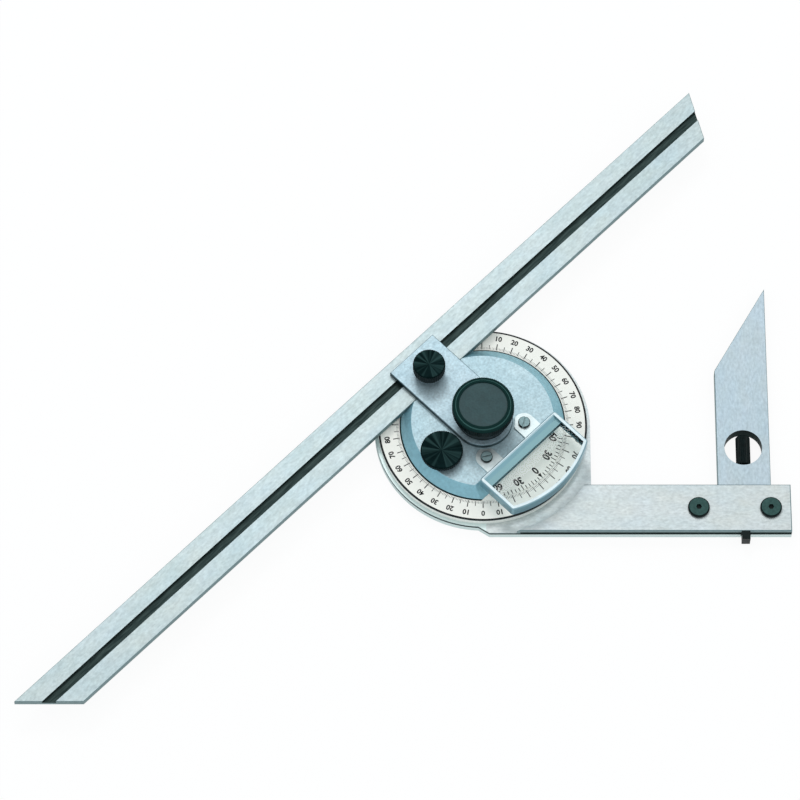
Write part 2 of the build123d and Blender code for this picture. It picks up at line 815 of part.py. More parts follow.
def blade_clamp_knob():
    """The small knob with a neck that tightens the blade."""
    cap_bottom = clamp_knob_top - clamp_knob_cap_height
    body = knurled([
        (0, clamp_knob_bottom),
        (clamp_knob_neck_radius, clamp_knob_bottom),
        (clamp_knob_neck_radius, cap_bottom),
        (clamp_knob_radius - knob_edge_chamfer, cap_bottom),
        (clamp_knob_radius, cap_bottom + knob_edge_chamfer),
        (clamp_knob_radius, clamp_knob_top - knob_edge_chamfer),
        (clamp_knob_radius - knob_edge_chamfer, clamp_knob_top),
        (clamp_knob_radius - 2 * knob_edge_chamfer, clamp_knob_top),
        (0, clamp_knob_top - knob_dish_depth),
    ], clamp_knob_radius, knurl_depth, clamp_knob_teeth)
    body -= disc(clamp_screw_radius + press_gap, clamp_knob_bottom, clamp_knob_top - clamp_screw_cover)
    return Pos(clamp_knob_x, clamp_knob_distance, 0) * body


def blade_clamp_screw():
    """The screw inside the blade clamp knob."""
    return disc(clamp_screw_radius, turret_top + clamp_pad_thickness,
                clamp_knob_top - clamp_screw_cover, clamp_knob_x, clamp_knob_distance)


def fine_knob():
    """The flat fine-adjustment knob with a coned underside."""
    cap_bottom = fine_knob_top - fine_knob_cap_height
    body = knurled([
        (0, fine_knob_bottom),
        (fine_knob_hub_radius, fine_knob_bottom),
        (fine_knob_radius - knob_edge_chamfer, cap_bottom),
        (fine_knob_radius, cap_bottom + knob_edge_chamfer),
        (fine_knob_radius, fine_knob_top - knob_edge_chamfer),
        (fine_knob_radius - knob_edge_chamfer, fine_knob_top),
        (fine_knob_radius - 2 * knob_edge_chamfer, fine_knob_top),
        (0, fine_knob_top - knob_dish_depth),
    ], fine_knob_radius, knurl_depth, fine_knob_teeth)
    body -= disc(fine_shaft_radius + press_gap, fine_knob_bottom, fine_knob_top - fine_shaft_cover)
    return Pos(fine_knob_x, fine_knob_y, 0) * body


def fine_shaft():
    """The shaft from the fine-adjustment knob down to the pinion."""
    return disc(fine_shaft_radius, pinion_bottom, fine_knob_top - fine_shaft_cover,
                fine_knob_x, fine_knob_y)


def pinion():
    """The pinion on the shaft, with a tooth pointing straight out from the pivot."""
    outline = gear_outline(pinion_teeth, pinion_root_radius, pinion_tip_radius, -tooth_thinning,
                           pinion_flank_steps)
    gear = plate(outline, pinion_bottom, pinion_bottom + pinion_thickness)
    gear -= disc(fine_shaft_radius + press_gap, pinion_bottom, pinion_bottom + pinion_thickness)
    return Pos(fine_knob_x, fine_knob_y, 0) * (Rot(0, 0, fine_knob_angle) * gear)


# Acute-angle attachment

def guide_screws():
    """The two black screws on the stock's front that guide the attachment."""
    screws = Part()
    for x in (guide_screw_first, guide_screw_second):
        head_top = stock_thickness + guide_screw_head_height
        head = disc(guide_screw_head_radius, stock_thickness, head_top)
        head = chamfer_top(head, guide_screw_edge_chamfer)
        socket = RegularPolygon(guide_screw_socket_radius, guide_screw_socket_sides)
        head -= extrude(Pos(0, 0, head_top - guide_screw_socket_depth) * socket,
                        guide_screw_socket_depth)
        screw = head + disc(guide_screw_radius, guide_nut_cover, stock_thickness)
        screws += Pos(x, -guide_screw_distance, 0) * screw
    return screws


def guide_nuts():
    """The two round nuts of the guide screws, behind the attachment's foot."""
    nuts = Part()
    for x in (guide_screw_first, guide_screw_second):
        nuts += annulus(guide_nut_radius, guide_screw_radius + press_gap, guide_nut_cover,
                        guide_nut_cover + guide_nut_thickness, x, -guide_screw_distance)
    return nuts


def long_slot(radius, x, bottom, top):
    """A slot along the stock, as long as the attachment travels."""
    y = -guide_screw_distance
    slot = block(x - attachment_travel, x + attachment_travel, y - radius, y + radius, bottom, top)
    for side in (-1, 1):
        slot += disc(radius, bottom, top, x + side * attachment_travel, y)
    return slot


def acute_blade():
    """The attachment: pointed blade, round window, and a slotted foot behind the stock."""
    tip_y = attachment_shoulder + attachment_width / tan(radians(attachment_tip_angle))
    body = plate([
        (attachment_left, stock_top_y + running_gap),
        (attachment_right, stock_top_y + running_gap),
        (attachment_right, tip_y),
        (attachment_left, attachment_shoulder),
    ], 0, attachment_thickness)
    body = chamfer_top(body, blade_edge_chamfer)
    body += block(attachment_foot_left, attachment_foot_right, foot_bottom_y, stock_top_y, 0,
                  attachment_foot_thickness)
    body += block(attachment_left, attachment_right, stock_top_y, stock_top_y + running_gap, 0,
                  attachment_foot_thickness)
    body -= disc(window_radius, 0, attachment_thickness, attachment_middle, -window_distance)
    ledge = guide_nut_cover + guide_nut_thickness + key_gap
    for x in (guide_screw_first, guide_screw_second):
        body -= long_slot(guide_screw_radius + screw_hole_gap, x, 0, attachment_foot_thickness)
        body -= long_slot(guide_nut_radius + screw_hole_gap, x, 0, ledge)
    bolt_hole = along_y(bolt_radius + screw_hole_gap, foot_bottom_y, -window_distance)
    return body - bolt_hole


def along_y(radius, y_low, y_high):
    """A round bar on the axis of the hook bolt."""
    bar = extrude(Plane.XZ * Circle(radius), y_low - y_high)
    return Pos(attachment_middle, y_low, bolt_height) * bar


def hook_bolt():
    """The bolt through the attachment's foot, hooked over the working edge."""
    hook_top = -working_edge_distance - running_gap
    nut_top = nut_bottom_y + clamp_nut_length
    bolt = along_y(bolt_radius, hook_top, nut_top - clamp_nut_bore_cover - screw_hole_gap)
    hook = block(attachment_middle - hook_width / 2, attachment_middle + hook_width / 2,
                 hook_top - hook_length, hook_top, hook_drop, stock_thickness)
    return bolt + hook


def clamp_nut():
    """The long knurled nut in the attachment's window."""
    nut = knurled([
        (0, 0),
        (clamp_nut_radius - clamp_nut_chamfer, 0),
        (clamp_nut_radius, clamp_nut_chamfer),
        (clamp_nut_radius, clamp_nut_length - clamp_nut_chamfer),
        (clamp_nut_radius - clamp_nut_chamfer, clamp_nut_length),
        (0, clamp_nut_length),
    ], clamp_nut_radius, clamp_nut_knurl_depth, clamp_nut_teeth)
    nut -= disc(bolt_radius + shaft_gap, 0, clamp_nut_length - clamp_nut_bore_cover)
    return Pos(attachment_middle, nut_bottom_y, bolt_height) * (Rot(-90, 0, 0) * nut)


# Writing the pieces

pieces = {
    "base_body": base_body(),
    "main_scale_ring": main_scale_ring(),
    "scale_ring_screws": scale_screws(),
    "ring_gear": ring_gear(),
    "ring_gear_screws": gear_screws(),
    "pivot_stud": pivot_stud(),
    "thrust_washer": thrust_washer(),
    "guide_screws": guide_screws(),
    "guide_nuts": guide_nuts(),
    "acute_blade": acute_blade(),
    "hook_bolt": hook_bolt(),
    "clamp_nut": clamp_nut(),
    "turret_plate": on_turret(turret_plate()),
    "turret_bush": on_turret(turret_bush()),
    "clamp_arm": on_turret(clamp_arm()),
    "arm_screws": on_turret(arm_screws()),
    "arm_dowels": on_turret(arm_dowels()),
    "vernier_plate": on_turret(vernier_plate()),
    "vernier_screws": on_turret(vernier_screws()),
    "magnifier_bracket": on_turret(magnifier_bracket()),
    "bracket_screws": on_turret(bracket_screws()),
    "magnifier_frame": on_turret(magnifier_frame()),
    "magnifier_screws": on_turret(magnifier_screws()),
    "magnifier_lens": on_turret(magnifier_lens()),
    "lock_washer": on_turret(lock_washer()),
    "lock_spring_washer": on_turret(lock_spring_washer()),
    "pinion_bush": on_turret(pinion_bush()),
    "fine_spring_washer": on_turret(fine_spring_washer()),
    "clamp_bush": on_turret(clamp_bush()),
    "clamp_pad": on_turret(clamp_pad()),
    "blade": on_turret(blade()),
    "lock_knob": lock_knob(),
    "lock_knob_insert": lock_knob_insert(),
    "lock_knob_face": lock_knob_face(),
    "blade_clamp_knob": on_turret(blade_clamp_knob()),
    "blade_clamp_screw": on_turret(blade_clamp_screw()),
    "fine_knob": on_turret(fine_knob()),
    "fine_shaft": on_turret(fine_shaft()),
    "pinion": on_turret(pinion()),
}

os.makedirs("parts", exist_ok=True)
for name, piece in pieces.items():
    export_step(piece, "parts/" + name + ".step")
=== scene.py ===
import json
from math import cos, hypot, radians, sin, sqrt

import bpy
import bmesh
from mathutils import Euler, Matrix, Vector


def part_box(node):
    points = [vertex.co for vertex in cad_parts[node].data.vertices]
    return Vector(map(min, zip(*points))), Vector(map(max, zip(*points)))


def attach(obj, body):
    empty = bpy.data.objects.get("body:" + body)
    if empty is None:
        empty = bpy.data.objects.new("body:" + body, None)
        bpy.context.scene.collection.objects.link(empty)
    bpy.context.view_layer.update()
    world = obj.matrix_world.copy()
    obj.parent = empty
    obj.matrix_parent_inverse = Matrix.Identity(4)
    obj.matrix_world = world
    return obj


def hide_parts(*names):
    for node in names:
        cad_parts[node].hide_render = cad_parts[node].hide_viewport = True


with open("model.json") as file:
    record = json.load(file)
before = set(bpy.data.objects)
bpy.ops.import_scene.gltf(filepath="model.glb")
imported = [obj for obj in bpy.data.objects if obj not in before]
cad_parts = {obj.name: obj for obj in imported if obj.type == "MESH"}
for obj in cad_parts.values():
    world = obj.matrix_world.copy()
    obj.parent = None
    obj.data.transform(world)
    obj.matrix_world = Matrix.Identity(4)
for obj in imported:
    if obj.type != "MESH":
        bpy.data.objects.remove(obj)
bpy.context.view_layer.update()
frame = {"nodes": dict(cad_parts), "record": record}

# Lengths are in metres and angles in degrees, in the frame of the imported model: the origin is on
# the pivot axis at the back face, +X runs along the stock and +Z comes out of the dial.
MM = 0.001
nodes = frame["nodes"]

# The blade stands at this angle to the stock, and the turret's own X runs along it
BLADE_ANGLE = 45.0

# The photograph's framing: what it is centred on, how high it looks from, and its width
VIEW_CENTRE = Vector((-26.0, 8.4, 6.0)) * MM
VIEW_ELEVATION = 65.0
VIEW_DISTANCE = 1.5
VIEW_WIDTH = 252.8 * MM
SENSOR_WIDTH = 36.0
NEAR_CLIP = 0.01
FAR_CLIP = 50.0

# The floor's half side, how far it lies below the object, and how much of it glows when seen
FLOOR_HALF = 3.0
FLOOR_DROP = 0.05 * MM
FLOOR_GLOW = 0.92

# The sky's colours from straight below to straight above
SKY = ((0.0, (0.26, 0.38, 0.42)), (0.35, (0.40, 0.54, 0.60)), (0.75, (0.92, 0.97, 1.0)),
       (1.0, (1.0, 1.0, 1.0)))

# Each lamp's place, side in metres and power in watts
LAMPS = {
    "key_light": ((-0.25, 0.85, 1.1), 0.4, 3.0),
    "fill_light": ((1.1, -0.5, 0.9), 0.9, 1.5),
}

# The blade's groove: its middle in the turret's own Y, half its width, its depth, and how far
# below the blade's face the black of its painted shade begins
GROOVE_MIDDLE = 27.4 * MM
GROOVE_HALF_WIDTH = 1.52 * MM
GROOVE_DEPTH = 1.1 * MM
GROOVE_LIP = 0.06 * MM

# The base body: the X where its working edge begins, the heights of that edge's painted shade
# band and of the painted shade line round the disc, and the X where the disc's level rim of
# painted light ends
WORKING_EDGE_START = 11.6 * MM
WORKING_EDGE_SHADE_HEIGHTS = (2.1 * MM, 3.8 * MM)
DISC_SHADE_LINE = (2.1 * MM, 2.9 * MM)
LIT_RIM_END = 1.0 * MM

# The radius where the turret's painted shade line round its rim begins, and the limits of the lock
# knob's painted highlight line
TURRET_SHADE_RADIUS = 25.72 * MM
HIGHLIGHT_RING_RADII = (8.45 * MM, 8.75 * MM)

# The acute blade's round window, and how far out from it the painted shade on its wall reaches
WINDOW_MIDDLE = (82.1 * MM, -7.25 * MM)
WINDOW_RADIUS = 5.95 * MM
WINDOW_MARGIN = 0.1 * MM

# How far below their highest point the stock screws' heads are grey-green, and how far below its
# own the magnifier's frame begins to take painted shade
SCREW_TOP_DEPTH = 0.2 * MM
FRAME_RIM_DEPTH = 0.3 * MM

# Dial graduations, with the ticks' sizes by the step in degrees that they fall on
ring_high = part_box("main_scale_ring")[1]
DIAL_FACE = ring_high.z
RING_RADIUS = ring_high.x
RING_BORE = 26.2 * MM
INK_HEIGHT = 0.012 * MM
INK_DEPTH = 0.01 * MM
INK_TOP = DIAL_FACE + INK_HEIGHT
INK_BOTTOM = DIAL_FACE - INK_DEPTH
TICK_INSET = 0.2 * MM
TICK_WIDTHS = {10: 0.3 * MM, 5: 0.22 * MM, 1: 0.11 * MM}
TICK_LENGTHS = {10: 2.2 * MM, 5: 1.6 * MM, 1: 0.8 * MM}
RIM_LINE_INSET = 0.24 * MM
RIM_LINE_WIDTH = 0.4 * MM
RIM_LINE_STEPS = 360
NUMBER_STEP = 10
NUMBER_RADIUS = 30.35 * MM
NUMBER_SIZE = 2.3 * MM

# A number's strokes are thickened by this share of its size, and each curve in them is cut into
# this many parts
NUMBER_WEIGHT = 0.035
NUMBER_CURVE_STEPS = 3

# Vernier graduations: on each side of zero 60 minutes, in twelve divisions over 32 degrees, with
# the ticks' lengths by the step in divisions that they fall on
VERNIER_RADIUS = 26.05 * MM
VERNIER_SPAN = 32.0
VERNIER_DIVISIONS = 12
VERNIER_MINUTES = 60
VERNIER_TICK_LENGTHS = {6: 1.5 * MM, 3: 1.2 * MM, 1: 0.95 * MM}
VERNIER_TICK_WIDTH = 0.26 * MM
VERNIER_NUMBER_STEP = 6
VERNIER_NUMBER_RADIUS = 23.25 * MM
VERNIER_NUMBER_SIZE = 2.9 * MM
ARROW_TIP_RADIUS = 26.0 * MM
ARROW_LENGTH = 1.3 * MM
ARROW_WIDTH = 1.2 * MM

# The lens's crown is divided this finely along and across the magnifier, and its straight edge's
# points are found within this distance
LENS_COLUMNS = 120
LENS_ROWS = 60
LENS_EDGE_REACH = 0.01 * MM

# The Z part of a face's normal is at least this on flat, level and gently sloping faces and on
# any that is turned up, and at most this on steep faces and walls. The Y part is at most FRONT
# on faces that look towards the camera's side.
FLAT = 0.99
LEVEL = 0.9
GENTLE = 0.6
UPWARD = 0.3
STEEP = 0.5
WALL = 0.3
FRONT = -0.7

# The dial's chamfers point up or down by an amount between these
CHAMFER_LEAN = (0.3, 0.95)

# Nearly all values of a noise texture lie between the first two
NOISE_LOW = 0.3
NOISE_HIGH = 0.7
NOISE_DETAIL = 4.0
NOISE_ROUGHNESS = 0.55

# The noise that draws the painted highlight streaks on the turned knobs
STREAK_SCALE = 2.6
STREAK_DETAIL = 2.0
STREAK_ROUGHNESS = 0.5

# The painted shade on sides is lighter and darker by this share in places
SIDE_SPREAD = 0.1

# Rays that feel for an edge to soften
BEVEL_SAMPLES = 6

# The sockets of a Mix node that mixes colours
MIX_FACTOR = 0
MIX_FIRST = 6
MIX_SECOND = 7
MIX_RESULT = 2

# The lens: its refractive index, and how much of it bends light without reflecting any
GLASS_INDEX = 1.5
BEND_SHARE = 0.75

# Casts of patches, as how much darker they are in red, green and blue
EVEN_CAST = (1.0, 1.0, 1.0)
COOL_CAST = (1.0, 0.4, 0.1)
WARM_CAST = (0.1, 0.4, 1.0)
SATIN_CAST = (1.0, 0.5, 0.3)

# Colours of steel, where GLANCE is the colour of what it mirrors at a flat angle
STOCK_STEEL = (0.71, 0.76, 0.77)
BLADE_STEEL = (0.57, 0.66, 0.68)
ATTACHMENT_STEEL = (0.57, 0.67, 0.74)
# Painted shade for the sides of ground steel
GROUND_SIDE_SHADE = (0.24, 0.32, 0.33)
GROUND_GLANCE = (0.5, 0.53, 0.53, 1)
# Painted light for the foot of the stock's walls and the rim by the disc
LIT_STEEL = (0.68, 0.79, 0.78)
TURRET_STEEL = (0.52, 0.67, 0.72)
# Painted shade on the turret's bevel
TURRET_SLOPE_SHADE = (0.35, 0.60, 0.68)
ARM_STEEL = (0.54, 0.68, 0.74)
# Painted shade on the clamp arm's sides
ARM_SIDE_SHADE = (0.01, 0.035, 0.04)
SCREW_STEEL = (0.30, 0.42, 0.43)
# Painted shade on the bracket screws' sides
SCREW_SIDE_SHADE = (0.004, 0.012, 0.012)
BRIGHT_STEEL = (0.72, 0.82, 0.83)
PLAIN_STEEL = (0.52, 0.54, 0.56)
DARK_STEEL = (0.20, 0.23, 0.24)
BRASS = (0.66, 0.50, 0.22)

# Colours of the dial, the magnifier and the lens
DIAL_CREAM = (0.98, 0.955, 0.88)
# A lighter copy of the dial's cream: painted light against the shade under the frame and lens
VERNIER_LIT_CREAM = (1.0, 0.98, 0.90)
SCALE_INK = (0.012, 0.013, 0.014)
FRAME_COAT = (0.74, 0.86, 0.89)
# Painted shade on the magnifier frame's sides
FRAME_SIDE_SHADE = (0.20, 0.36, 0.42)
GLASS = (0.98, 1.0, 1.0)
CLEAR = (0.99, 1.0, 1.0)

# Black and nearly black colours, where GLANCE is the colour of the finish's reflections
BLACK = (0.003, 0.01, 0.01)
# Painted shade on the dial's chamfers
CHAMFER_SHADE = (0.006, 0.012, 0.012)
# Painted shade round the turret's rim
TURRET_RIM_SHADE = (0.01, 0.03, 0.032)
# Painted shade in the acute blade's window
WINDOW_SHADE = (0.004, 0.01, 0.01)
# Painted highlight on the turned knobs' tops
STREAK_HIGHLIGHT = (0.024, 0.052, 0.05)
TURNED_GLANCE = (0.25, 0.85, 0.95, 1.0)
LOCK_KNOB_GLANCE = (0.3, 1.0, 1.0, 1.0)
# Painted light on the lock knob's upward faces
LOCK_KNOB_LIT_TOP = (0.006, 0.022, 0.02)
# Painted highlight on the edge of the lock knob's step
LOCK_KNOB_RING_HIGHLIGHT = (0.05, 0.12, 0.11)
KNOB_FACE_GREY = (0.028, 0.075, 0.080)

# Colour ramps over a noise, and for the frame over how far a face is turned up
# Painted shade on the stock's working edge, over a noise
WORKING_EDGE_SHADES = ((0.3, (0.001, 0.006, 0.005)), (0.75, (0.008, 0.02, 0.018)))
# Painted shade in the blade's groove, over a noise
GROOVE_SHADES = ((0.3, (0.012, 0.022, 0.022)), (0.75, (0.05, 0.075, 0.07)))
SCREW_TOP_GREENS = ((0.3, (0.022, 0.06, 0.054)), (0.7, (0.042, 0.1, 0.09)))
# Where the painted highlight streaks begin and reach full strength
HIGHLIGHT_STREAKS = ((0.46, (0, 0, 0)), (0.66, (1, 1, 1)))
# Painted shade on the magnifier frame's sunk level and sloping faces
FRAME_SHADES = ((0.7, (0.24, 0.40, 0.46)), (0.9, (0.21, 0.37, 0.40)))


# Materials

def fill_ramp(node, stops):
    """Give a colour ramp its (position, colour) stops."""
    elements = node.color_ramp.elements
    for index, (position, colour) in enumerate(stops):
        element = elements[index] if index < 2 else elements.new(position)
        element.position = position
        element.color = (*colour, 1)


def mix_shaders(tree, share, first, second):
    """One shader mixed with another; the second one's share is a socket or a plain number."""
    node = tree.nodes.new("ShaderNodeMixShader")
    if isinstance(share, float):
        node.inputs["Fac"].default_value = share
    else:
        tree.links.new(share, node.inputs["Fac"])
    tree.links.new(first, node.inputs[1])
    tree.links.new(second, node.inputs[2])
    return node.outputs["Shader"]


class Surface:
    """A Principled material that is built up from procedural layers in object space.

    A grain is given in millimetres, as one number or as three along X, Y and Z. X and Y are
    turned by the angle that the material is made with.
    """

    def __init__(self, name, colour, metallic, roughness, turn=0.0):
        self.material = bpy.data.materials.new(name)
        self.material.use_nodes = True
        self.tree = self.material.node_tree
        self.nodes = self.tree.nodes
        self.links = self.tree.links
        self.shader = self.nodes["Principled BSDF"]
        self.shader.inputs["Metallic"].default_value = metallic
        self.shader.inputs["Roughness"].default_value = roughness
        self.colour = colour
        self.roughness = None
        self.normal = None
        self.model_place = self.nodes.new("ShaderNodeTexCoord").outputs["Object"]
        self.place = self.mapped(self.model_place, "Rotation", (0, 0, -radians(turn)))

    def mapped(self, place, kind, values):
        """Coordinates that are turned or scaled."""
        node = self.nodes.new("ShaderNodeMapping")
        node.inputs[kind].default_value = values
        self.links.new(place, node.inputs["Vector"])
        return node.outputs["Vector"]

    def noise_at(self, place, scale, detail, rough):
        """Noise from 0 to 1 at a place."""
        texture = self.nodes.new("ShaderNodeTexNoise")
        texture.inputs["Scale"].default_value = scale
        texture.inputs["Detail"].default_value = detail
        texture.inputs["Roughness"].default_value = rough
        self.links.new(place, texture.inputs["Vector"])
        return texture.outputs["Fac"]

    def noise(self, grain, detail=NOISE_DETAIL):
        """Noise from 0 to 1 whose features are as large as the grain."""
        sizes = grain if isinstance(grain, tuple) else (grain, grain, grain)
        place = self.mapped(self.place, "Scale", [1 / (size * MM) for size in sizes])
        return self.noise_at(place, 1.0, detail, NOISE_ROUGHNESS)

    def ramp(self, factor, stops):
        """A colour ramp of (position, colour) stops."""
        node = self.nodes.new("ShaderNodeValToRGB")
        fill_ramp(node, stops)
        self.links.new(factor, node.inputs["Fac"])
        return node.outputs["Color"]

    def remap(self, value, low, high, start, end):
        """A value from low to high, spread from start to end."""
        node = self.nodes.new("ShaderNodeMapRange")
        node.inputs["From Min"].default_value = low
        node.inputs["From Max"].default_value = high
        node.inputs["To Min"].default_value = start
        node.inputs["To Max"].default_value = end
        self.links.new(value, node.inputs["Value"])
        return node.outputs["Result"]

    def math(self, operation, first, second=None):
        """One arithmetic step on sockets or plain numbers."""
        node = self.nodes.new("ShaderNodeMath")
        node.operation = operation
        for index, value in enumerate((first, second)):
            if isinstance(value, (int, float)):
                node.inputs[index].default_value = value
            elif value is not None:
                self.links.new(value, node.inputs[index])
        return node.outputs[0]

    def vector_math(self, operation, first, second=None):
        """One arithmetic step on a vector socket, with a plain vector if it needs one."""
        node = self.nodes.new("ShaderNodeVectorMath")
        node.operation = operation
        self.links.new(first, node.inputs[0])
        if second is not None:
            node.inputs[1].default_value = second
        return node.outputs["Vector"]

    def both(self, first, second):
        """1 where two masks are both 1, else 0."""
        return self.math("MULTIPLY", first, second)

    def either(self, first, second):
        """1 where one of two masks is 1, else 0."""
        return self.math("MAXIMUM", first, second)

    def mix(self, factor, first, second, kind="MIX"):
        """One colour mixed with another; each may be a socket or a plain colour."""
        node = self.nodes.new("ShaderNodeMix")
        node.data_type = "RGBA"
        node.blend_type = kind
        for value, index in ((factor, MIX_FACTOR), (first, MIX_FIRST), (second, MIX_SECOND)):
            socket = node.inputs[index]
            if isinstance(value, (int, float)):
                socket.default_value = value
            elif isinstance(value, tuple):
                socket.default_value = (*value, 1)
            else:
                self.links.new(value, socket)
        return node.outputs[MIX_RESULT]

    def paint(self, mask, colour):
        """Another colour where a mask is 1."""
        self.colour = self.mix(mask, self.colour, colour)

    def tint(self, grain, depth, cast=EVEN_CAST):
        """Patches that are darker by a depth, times the cast's red, green and blue."""
        dark = tuple(1 - depth * share for share in cast)
        patches = self.ramp(self.noise(grain), [(NOISE_LOW, dark), (NOISE_HIGH, (1, 1, 1))])
        self.colour = self.mix(1.0, self.colour, patches, "MULTIPLY")

    def axes(self, vector):
        """A vector's three parts by name."""
        node = self.nodes.new("ShaderNodeSeparateXYZ")
        self.links.new(vector, node.inputs["Vector"])
        return node.outputs

    def facing(self, axis):
        """How far the surface itself faces along one of the model's axes, from -1 to 1."""
        geometry = self.nodes.new("ShaderNodeNewGeometry")
        return self.axes(geometry.outputs["True Normal"])[axis]

    def lean(self):
        """How level the surface is, up or down, from 0 on a wall to 1."""
        return self.math("ABSOLUTE", self.facing("Z"))

    def turned_up(self, least):
        """1 where the surface faces up by more than a limit, else 0."""
        return self.math("GREATER_THAN", self.facing("Z"), least)

    def reach(self, x, y):
        """The distance in plan from an upright line of the model."""
        split = self.axes(self.model_place)
        across = self.math("POWER", self.math("SUBTRACT", split["X"], x), 2.0)
        along = self.math("POWER", self.math("SUBTRACT", split["Y"], y), 2.0)
        return self.math("SQRT", self.math("ADD", across, along))

    def between(self, value, low, high):
        """1 where a value lies between two limits, else 0."""
        return self.both(self.math("GREATER_THAN", value, low),
                         self.math("LESS_THAN", value, high))

    def shade_sides(self, colour, upright):
        """Painted shade, slightly uneven, where the surface leans further than a flat face."""
        share = self.remap(self.lean(), upright, FLAT, 1.0, 0.0)
        darker = tuple(channel * (1 - SIDE_SPREAD) for channel in colour)
        lighter = tuple(min(1.0, channel * (1 + SIDE_SPREAD)) for channel in colour)
        tone = self.ramp(self.noise(1.0), [(NOISE_LOW, darker), (NOISE_HIGH, lighter)])
        self.paint(share, tone)

    def sheen_spread(self, grain, low, high, detail=3.0):
        """Roughness that wanders between two values."""
        self.roughness = self.remap(self.noise(grain, detail), NOISE_LOW, NOISE_HIGH, low, high)

    def soft_edges(self, radius):
        """Edges that catch the light, as if rounded by a radius in millimetres."""
        node = self.nodes.new("ShaderNodeBevel")
        node.samples = BEVEL_SAMPLES
        node.inputs["Radius"].default_value = radius * MM
        self.normal = node.outputs["Normal"]

    def bump(self, grain, depth, strength, detail=NOISE_DETAIL):
        """Relief of a grain and a depth in millimetres, stacked on the soft edges."""
        node = self.nodes.new("ShaderNodeBump")
        node.inputs["Strength"].default_value = strength
        node.inputs["Distance"].default_value = depth * MM
        self.links.new(self.noise(grain, detail), node.inputs["Height"])
        if self.normal is not None:
            self.links.new(self.normal, node.inputs["Normal"])
        self.normal = node.outputs["Normal"]

    def finish(self):
        """Connect the layers to the shader; every material has at least one tint."""
        layers = {"Base Color": self.colour, "Roughness": self.roughness, "Normal": self.normal}
        for name, layer in layers.items():
            if layer is not None:
                self.links.new(layer, self.shader.inputs[name])
        return self.material


def ground_steel(name, turn, base):
    """Surface-ground steel: grinding lines along the piece, cloudy patches and painted shade on
    its sides.
    """
    surface = Surface(name, base, metallic=0.8, roughness=0.38, turn=turn)
    surface.tint((18, 9, 9), depth=0.1, cast=COOL_CAST)
    surface.tint((11, 7, 7), depth=0.08, cast=WARM_CAST)
    surface.tint((3.0, 1.5, 1.5), depth=0.1)
    surface.tint((1.3, 0.7, 0.7), depth=0.22)
    # Painted shade on the sides
    surface.shade_sides(GROUND_SIDE_SHADE, upright=0.75)
    surface.sheen_spread((8, 0.3, 0.3), low=0.3, high=0.48)
    surface.soft_edges(radius=0.12)
    surface.bump((4, 0.07, 0.07), depth=0.01, strength=0.25, detail=2.0)
    surface.shader.inputs["Specular IOR Level"].default_value = 0.1
    surface.shader.inputs["Specular Tint"].default_value = GROUND_GLANCE
    return surface


def stock_steel():
    """Ground steel of the base body, with painted shade on the working edge and round the disc."""
    surface = ground_steel("stock_ground_steel", 0.0, STOCK_STEEL)
    split = surface.axes(surface.place)
    # Painted shade: a dark band on the working edge and a dark line round the disc's wall
    dark = surface.ramp(surface.noise((6, 0.6, 0.6)), WORKING_EDGE_SHADES)
    along_stock = surface.math("GREATER_THAN", split["X"], WORKING_EDGE_START)
    front = surface.math("LESS_THAN", surface.facing("Y"), FRONT)
    working_edge = surface.both(front, along_stock)
    edge = surface.both(working_edge, surface.between(split["Z"], *WORKING_EDGE_SHADE_HEIGHTS))
    upright = surface.math("LESS_THAN", surface.lean(), STEEP)
    round_wall = surface.both(upright, surface.math("SUBTRACT", 1.0, along_stock))
    line = surface.both(round_wall, surface.between(split["Z"], *DISC_SHADE_LINE))
    below_line = surface.math("LESS_THAN", split["Z"], DISC_SHADE_LINE[0])
    lit_wall_foot = surface.both(surface.either(working_edge, round_wall), below_line)
    outside_ring = surface.math("GREATER_THAN", surface.reach(0.0, 0.0), RING_RADIUS)
    level_rim = surface.both(surface.turned_up(LEVEL), outside_ring)
    rim = surface.both(level_rim, surface.math("LESS_THAN", split["X"], LIT_RIM_END))
    # Painted light: the foot of the walls and the level rim outside the ring are made paler
    surface.paint(surface.either(lit_wall_foot, rim), LIT_STEEL)
    # Painted shade on the working edge's band and the line round the disc
    surface.paint(surface.either(edge, line), dark)
    return surface.finish()


def satin_steel(name, turn, base, sides, upright=0.9):
    """Satin-blasted steel with a cool tint, and painted shade on slopes and sides."""
    surface = Surface(name, base, metallic=0.75, roughness=0.42, turn=turn)
    surface.tint(9, depth=0.12, cast=SATIN_CAST)
    surface.tint(0.7, depth=0.3)
    # Painted shade on slopes and sides
    surface.shade_sides(sides, upright)
    surface.sheen_spread(2, low=0.36, high=0.5)
    surface.soft_edges(radius=0.12)
    surface.bump(0.12, depth=0.01, strength=0.35, detail=3.0)
    return surface


def blade_steel():
    """Ground steel whose guide groove is painted black as shade."""
    surface = ground_steel("blade_ground_steel", BLADE_ANGLE, BLADE_STEEL)
    split = surface.axes(surface.place)
    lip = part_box("blade")[1].z - GROOVE_LIP
    across = surface.between(split["Y"], GROOVE_MIDDLE - GROOVE_HALF_WIDTH,
                             GROOVE_MIDDLE + GROOVE_HALF_WIDTH)
    groove = surface.both(across, surface.between(split["Z"], lip - GROOVE_DEPTH, lip))
    # Painted shade: the groove is coloured black
    surface.paint(groove, surface.ramp(surface.noise((5, 0.5, 0.5)), GROOVE_SHADES))
    return surface.finish()


